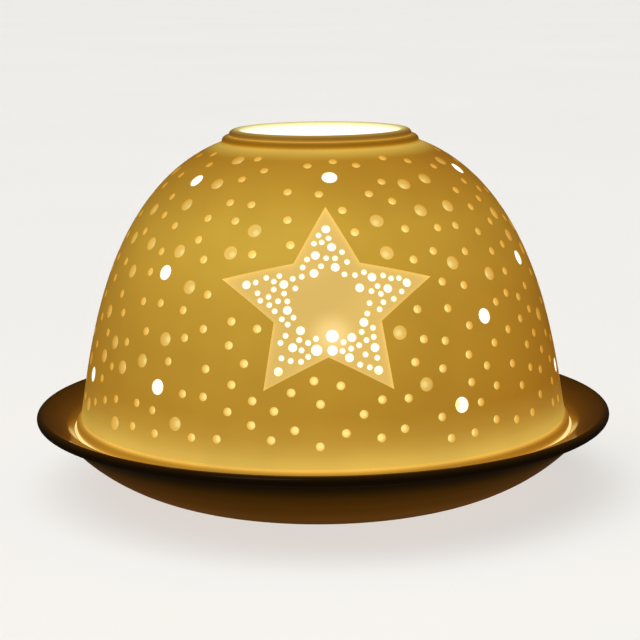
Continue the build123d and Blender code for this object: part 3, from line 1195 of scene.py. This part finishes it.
        sizes = {"Vertices": given["Drill Sides"], "Radius": 1.0, "Depth": given["Drill Length"]}
        tube = add_node(tree, "GeometryNodeMeshCylinder", sizes)
        sizes = {"Segments": given["Ball Segments"], "Rings": given["Ball Rings"], "Radius": 1.0}
        ball = add_node(tree, "GeometryNodeMeshUVSphere", sizes)
        sunk = combined("ADD", bore, given["Countersink"])
        tubes = cutters("Drill Points", tube, bore, 1.0)
        cut_wall = given["Geometry"]
        for tool in (
            cut(shape_of("Star Block"), shape_of("Core")),
            cutters("Dimple Points", ball, bore, named("deep", "FLOAT")),
            cutters("Drill Points", ball, sunk, given["Countersink Depth"]),
            tubes,
        ):
            cut_wall = cut(cut_wall, tool)
        # Painted light: points on a piercing's bore get a wall of 0, so the bores glow white.
        spread = {"Value": distance(tubes), "To Max": 1 / MM}
        spread["From Max"] = combined("MULTIPLY", given["Countersink"], 0.5)
        full = add_node(tree, "ShaderNodeMapRange", spread).outputs[0]
        store = {"Geometry": cut_wall, "Name": "wall"}
        store["Value"] = combined("MULTIPLY", distance(shape_of("Inner Face")), full)
        walled = add_node(tree, "GeometryNodeStoreNamedAttribute", store, data_type="FLOAT", domain="POINT")
        shaded = add_node(tree, "GeometryNodeSetShadeSmooth", {"Geometry": walled.outputs[0]}, domain="FACE")
        bend = {0: add_node(tree, "GeometryNodeInputMeshEdgeAngle").outputs["Unsigned Angle"]}
        bend[1] = given["Smooth Angle"]
        sharp = add_node(tree, "FunctionNodeCompare", bend, operation="GREATER_THAN").outputs[0]
        crisp = {"Geometry": shaded.outputs[0], "Selection": sharp, "Shade Smooth": False}
        edged = add_node(tree, "GeometryNodeSetShadeSmooth", crisp, domain="EDGE")
        whole = add_node(tree, "GeometryNodeRealizeInstances", {"Geometry": edged.outputs[0]})
        dressed = {"Geometry": whole.outputs[0], "Material": given["Finish"]}
        painted = add_node(tree, "GeometryNodeSetMaterial", dressed)
        add_node(tree, "NodeGroupOutput", {"Geometry": painted.outputs[0]})
        return tree

    def build(self) -> Object:
        """Make the dome: turn it, then cut it with the node tree."""
        piece = new_object(self.node + "_pierced", self.turned_wall())
        helpers = {
            "Star Block": new_object("star_block", self.star_block("star_block")),
            "Core": new_object("core", self.turned_core(self.star.depth, "core")),
            "Inner Face": new_object("inner_face", self.inner_skin("inner_face")),
            "Drill Points": new_object("drill_points", self.drill_points()),
            "Dimple Points": new_object("dimple_points", self.dimple_points()),
        }
        values = helpers | {
            "Drill Length": self.drill_length * MM,
            "Countersink": self.countersink * MM,
            "Countersink Depth": self.countersink_depth * MM,
            "Smooth Angle": SMOOTH_ANGLE,
            "Drill Sides": self.drill_sides,
            "Ball Segments": self.ball_segments,
            "Ball Rings": self.ball_rings,
            "Finish": BISQUE_PORCELAIN.material(),
        }
        tree = self.piercing_tree()
        modifier = piece.modifiers.new("pierce", "NODES")
        modifier.node_group = tree
        for item in tree.interface.items_tree:
            if item.in_out == "INPUT" and item.name in values:
                modifier[item.identifier] = values[item.name]
        bake_modifier(piece)
        for helper in helpers.values():
            bpy.data.objects.remove(helper)
        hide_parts(self.node)
        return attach(piece, self.node)


@dataclass
class Tealight:
    """Standard tealight, burning: cup, wax, sustainer, wick and flame. Sizes in millimetres."""

    body: str = "tealight"
    segments: int = 128
    wall: float = 0.3
    rim_roll: float = 0.45
    cup_radius: float = 18.6
    wax_radius: float = 18.15
    wax_below_rim: float = 2.2
    dish: float = 0.7
    dish_radius: float = 15.5
    emboss: float = 0.25
    emboss_radii: tuple[float, float] = (11.0, 12.0)
    wick_radius: float = 0.75
    wick_rings: int = 60
    wick_sides: int = 24
    strands: int = 3
    turns: float = 7.0
    strand_relief: float = 0.14
    curl_start: float = 0.72
    curl_reach: float = 1.3
    curl_drop: float = 0.35
    tip_taper: float = 0.35
    flame_height: float = 22.0
    flame_radius: float = 3.6
    flame_lean: Ring = (1.2, -1.0)
    flame_rings: int = 28
    flame_sides: int = 32
    flame_root: float = 2.6
    flame_belly: float = 0.62
    flame_fullness: float = 0.9
    flame_taper: float = 0.25
    lamp_height: float = 0.45
    lamp_colour: str = "#FFE3A8"
    lamp_power: float = 0.024
    base: float = 0.0
    top: float = 0.0
    rim_radius: float = 0.0
    wick_top: float = 0.0

    def __post_init__(self) -> None:
        """Take the cup's and the wick's places from the frame."""
        low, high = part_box("tealight_cup")
        self.base, self.top, self.rim_radius = low[2] / MM, high[2] / MM, high[0] / MM
        self.wick_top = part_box("wick")[1][2] / MM

    def cup(self) -> Object:
        """Make the drawn cup: embossed base, rounded heel and rolled rim."""
        base, top, out = self.base, self.top, self.cup_radius
        roll, (disc, ring), lift = self.rim_roll, self.emboss_radii, self.emboss
        section = Outline().to(0.0, base + lift).to(disc, base + lift)
        section.curve((disc + 0.4, base + lift), (ring - 0.4, base), (ring, base), 3)
        section.to(out - 1.0, base)
        section.curve((out - 0.4, base), (out - 0.1, base + 0.4), (out - 0.1, base + 1.0), 5)
        section.to(out, top - 2 * roll)
        section.curve((self.rim_radius, top - 2 * roll), (self.rim_radius, top), (out + 0.05, top), 8)
        section.curve((out - 0.25, top), (out - self.wall, top - 0.3), (out - self.wall, top - 0.8), 5)
        section.to(out - self.wall - 0.1, base + 1.0)
        floor = base + self.wall
        section.curve((out - 0.4, base + 0.6), (out - 0.6, floor), (out - 1.2, floor), 4)
        section.to(ring, floor).to(disc, floor + lift).to(0.0, floor + lift)
        mesh = section.turn("tealight_cup_drawn", self.segments)
        mesh.materials.append(DRAWN_ALUMINIUM.material())
        return self.finish(new_object("tealight_cup_drawn", mesh), "tealight_cup", "aluminium_cup")

    def wax(self) -> Object:
        """Make the wax: soft edge against the cup, melted dish, meniscus at the wick."""
        level = self.top - self.wax_below_rim
        pool, edge = level - self.dish, self.dish_radius
        bottom, out = self.base + 0.6, self.wax_radius
        section = Outline().to(0.0, bottom).to(out - 0.6, bottom).to(out - 0.15, bottom + 0.5)
        section.to(out, level - 0.2, 0.25)
        section.curve((out, level + 0.1), (out - 0.3, level), (out - 0.6, level), 4, 0.35)
        section.to(edge + 0.4, level, 0.45)
        section.curve((edge - 0.2, level), (edge - 0.6, level - 0.45), (edge - 1.6, level - 0.55), 6, 0.55)
        section.curve((8.0, pool), (4.0, pool), (2.2, pool), 8, 0.95)
        section.curve((1.4, pool), (1.0, level - 0.4), (0.9, level - 0.1), 5, 1.0)
        section.to(0.0, level - 0.1, 1.0)
        mesh = section.turn("tealight_wax_cast", self.segments)
        mesh.materials.append(CAST_WAX.material())
        return self.finish(new_object("tealight_wax_cast", mesh), "tealight_wax", "candle_wax")

    def wick(self) -> Object:
        """Make the wick: three twisted strands that curl over at the burnt tip."""
        low, high = self.base + 0.8, self.wick_top
        shape = bmesh.new()
        layer = shape.verts.layers.float.new("glow")
        rows = []
        for ring in range(self.wick_rings + 1):
            t = ring / self.wick_rings
            curl = max(t - self.curl_start, 0.0) / (1 - self.curl_start)
            drop = self.curl_drop * curl**2
            middle = Vector((self.curl_reach * curl**2, 0.0, low + (high - low) * t - drop))
            taper = self.wick_radius * (1 - self.tip_taper * curl**3)
            row = []
            for side in range(self.wick_sides):
                angle = 2 * math.pi * side / self.wick_sides
                twist = self.strands * angle + self.turns * 2 * math.pi * t
                radius = taper * (1 - self.strand_relief * (1 - math.cos(twist)))
                place = middle + Vector((radius * math.cos(angle), radius * math.sin(angle), 0.0))
                vertex = shape.verts.new(place * MM)
                vertex[layer] = t
                row.append(vertex)
            rows.append(row)
        bridge(shape, rows)
        shape.faces.new(rows[0][::-1])
        shape.faces.new(rows[-1])
        bmesh.ops.recalc_face_normals(shape, faces=shape.faces)
        mesh = take_mesh(shape, "wick_braided")
        smooth(mesh)
        mesh.materials.append(BRAIDED_COTTON.material())
        return self.finish(new_object("wick_braided", mesh), "wick", "cotton_wick")

    def flame(self) -> Object:
        """Make the flame and the lamp that shines for it."""
        low = self.wick_top - self.flame_root
        section = Outline().to(0.0, low, 0.0)
        for ring in range(1, self.flame_rings):
            t = ring / self.flame_rings
            round_share = math.sin(math.pi * t**self.flame_belly) ** self.flame_fullness
            radius = self.flame_radius * round_share * (1 - self.flame_taper * t)
            section.to(radius, low + self.flame_height * t, t)
        section.to(0.0, low + self.flame_height, 1.0)
        mesh = section.turn("flame", self.flame_sides)
        for vertex in mesh.vertices:
            share = (vertex.co.z / MM - low) / self.flame_height
            vertex.co.x += self.flame_lean[0] * MM * share
            vertex.co.y += self.flame_lean[1] * MM * share
        mesh.materials.append(CANDLE_FLAME.material())
        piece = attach(new_object("flame", mesh), self.body)
        lamp = bpy.data.lights.new("flame_light", "POINT")
        lamp.energy = self.lamp_power
        lamp.color = linear(self.lamp_colour)[:3]
        lamp.shadow_soft_size = self.flame_radius * MM
        shine = new_object("flame_light", lamp)
        shine.location = (0.0, 0.0, (low + self.flame_height * self.lamp_height) * MM)
        shine.parent = piece
        piece.visible_shadow = False
        return piece

    def finish(self, piece: Object, node: str, slot: str) -> Object:
        """Let a piece stand for its node and ride on the tealight."""
        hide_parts(node)
        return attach(piece, self.body)

    def build(self) -> list[Object]:
        """Make every piece of the tealight, and dress the sustainer that the frame holds."""
        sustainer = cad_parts["wick_sustainer"]
        steel = TINNED_STEEL.material()
        for slot in sustainer.material_slots:
            slot.material = steel
        return [self.cup(), self.wax(), self.wick(), self.flame()]


@dataclass
class Studio:
    """Pale floor, soft light and the camera. Sizes in metres."""

    floor_radius: float = 12.0
    floor_sides: int = 96
    floor_drop: float = 0.00005
    sky_colour: str = "#F6F5F2"
    room_colour: str = "#F2F0EC"
    room_light: float = 0.015
    floor_light: float = 3.3
    floor_shade: float = 0.14
    sun_spread: float = math.radians(70)
    sun_turn: Place = (math.radians(12), math.radians(-14), 0.0)
    fill_power: float = 0.15
    fill_size: float = 0.5
    fill_place: Place = (-0.35, -0.55, 0.75)
    fill_target: Place = (0.0, 0.0, 0.04)
    camera_distance: float = 0.38566
    camera_height: float = 0.1071
    camera_tilt: float = 0.1853
    camera_turn: float = math.radians(-1.4)
    camera_pan: float = 0.0011
    camera_roll: float = -0.0101
    camera_near: float = 0.01
    lens_mm: float = 105.05
    sensor_mm: float = 36.0

    def floor(self) -> Object:
        """Make the floor, which lights nothing but the eye."""
        shape = bmesh.new()
        bmesh.ops.create_circle(shape, cap_ends=True, segments=self.floor_sides, radius=self.floor_radius)
        mesh = take_mesh(shape, "floor")
        mesh.transform(Matrix.Translation((0, 0, -self.floor_drop)))
        mesh.materials.append(PALE_PAPER.material())
        made = new_object("floor", mesh)
        made.visible_diffuse = False
        made.visible_glossy = False
        return made

    def world(self) -> None:
        """Make a pale surround that lights the room only a little."""
        world = bpy.data.worlds.new("studio")
        bpy.context.scene.world = world
        world.use_nodes = True
        tree = world.node_tree
        tree.nodes.clear()
        inputs = {0: add_node(tree, "ShaderNodeLightPath").outputs["Is Camera Ray"]}
        backdrops = ((self.room_colour, self.room_light), (self.sky_colour, 1.0))
        for index, (code, strength) in enumerate(backdrops, 1):
            backdrop = {"Color": linear(code), "Strength": strength}
            inputs[index] = add_node(tree, "ShaderNodeBackground", backdrop).outputs[0]
        mixed = add_node(tree, "ShaderNodeMixShader", inputs)
        add_node(tree, "ShaderNodeOutputWorld", {"Surface": mixed.outputs[0]})

    def lights(self, floor: Object) -> None:
        """Light the floor evenly, and the object with one soft lamp."""
        lit = bpy.data.collections.new("floor_only")
        lit.objects.link(floor)
        shares = (("floor_sun", self.floor_shade, True), ("floor_sky", 1 - self.floor_shade, False))
        for name, share, shadow in shares:
            sun = bpy.data.lights.new(name, "SUN")
            sun.energy = self.floor_light * share
            sun.angle = self.sun_spread
            sun.use_shadow = shadow
            made = new_object(name, sun)
            made.rotation_euler = self.sun_turn
            made.light_linking.receiver_collection = lit
        fill = bpy.data.lights.new("soft_fill", "AREA")
        fill.shape = "DISK"
        fill.size = self.fill_size
        fill.energy = self.fill_power
        made = new_object("soft_fill", fill)
        made.location = self.fill_place
        towards = Vector(self.fill_target) - made.location
        made.rotation_euler = towards.to_track_quat("-Z", "Y").to_euler()

    def camera(self) -> None:
        """Stand the camera before the star, a little above the dome's mouth."""
        lens = bpy.data.cameras.new("camera")
        lens.lens = self.lens_mm
        lens.sensor_width = self.sensor_mm
        lens.clip_start = self.camera_near
        camera = new_object("camera", lens)
        bpy.context.scene.camera = camera
        turn = Matrix.Rotation(self.camera_turn, 4, "Z")
        back = Matrix.Translation((0.0, -self.camera_distance, self.camera_height))
        pan = Matrix.Rotation(self.camera_pan, 4, "Z")
        tilt = Matrix.Rotation(math.pi / 2 - self.camera_tilt, 4, "X")
        roll = Matrix.Rotation(self.camera_roll, 4, "Z")
        camera.matrix_world = turn @ back @ pan @ tilt @ roll


    def build(self) -> None:
        """Set up the whole studio."""
        bpy.context.scene.view_settings.view_transform = "Standard"
        floor = self.floor()
        self.world()
        self.lights(floor)
        self.camera()


def main() -> None:
    """Build the holder in its frame and log each piece's face count."""
    logging.basicConfig(level=logging.INFO, format="%(name)s: %(message)s")
    Studio().build()
    made = [Saucer().build(), Dome().build(), *Tealight().build()]
    for piece in made:
        log.info("%s: %d faces", piece.name, len(piece.data.polygons))


if __name__ == "__main__":
    main()
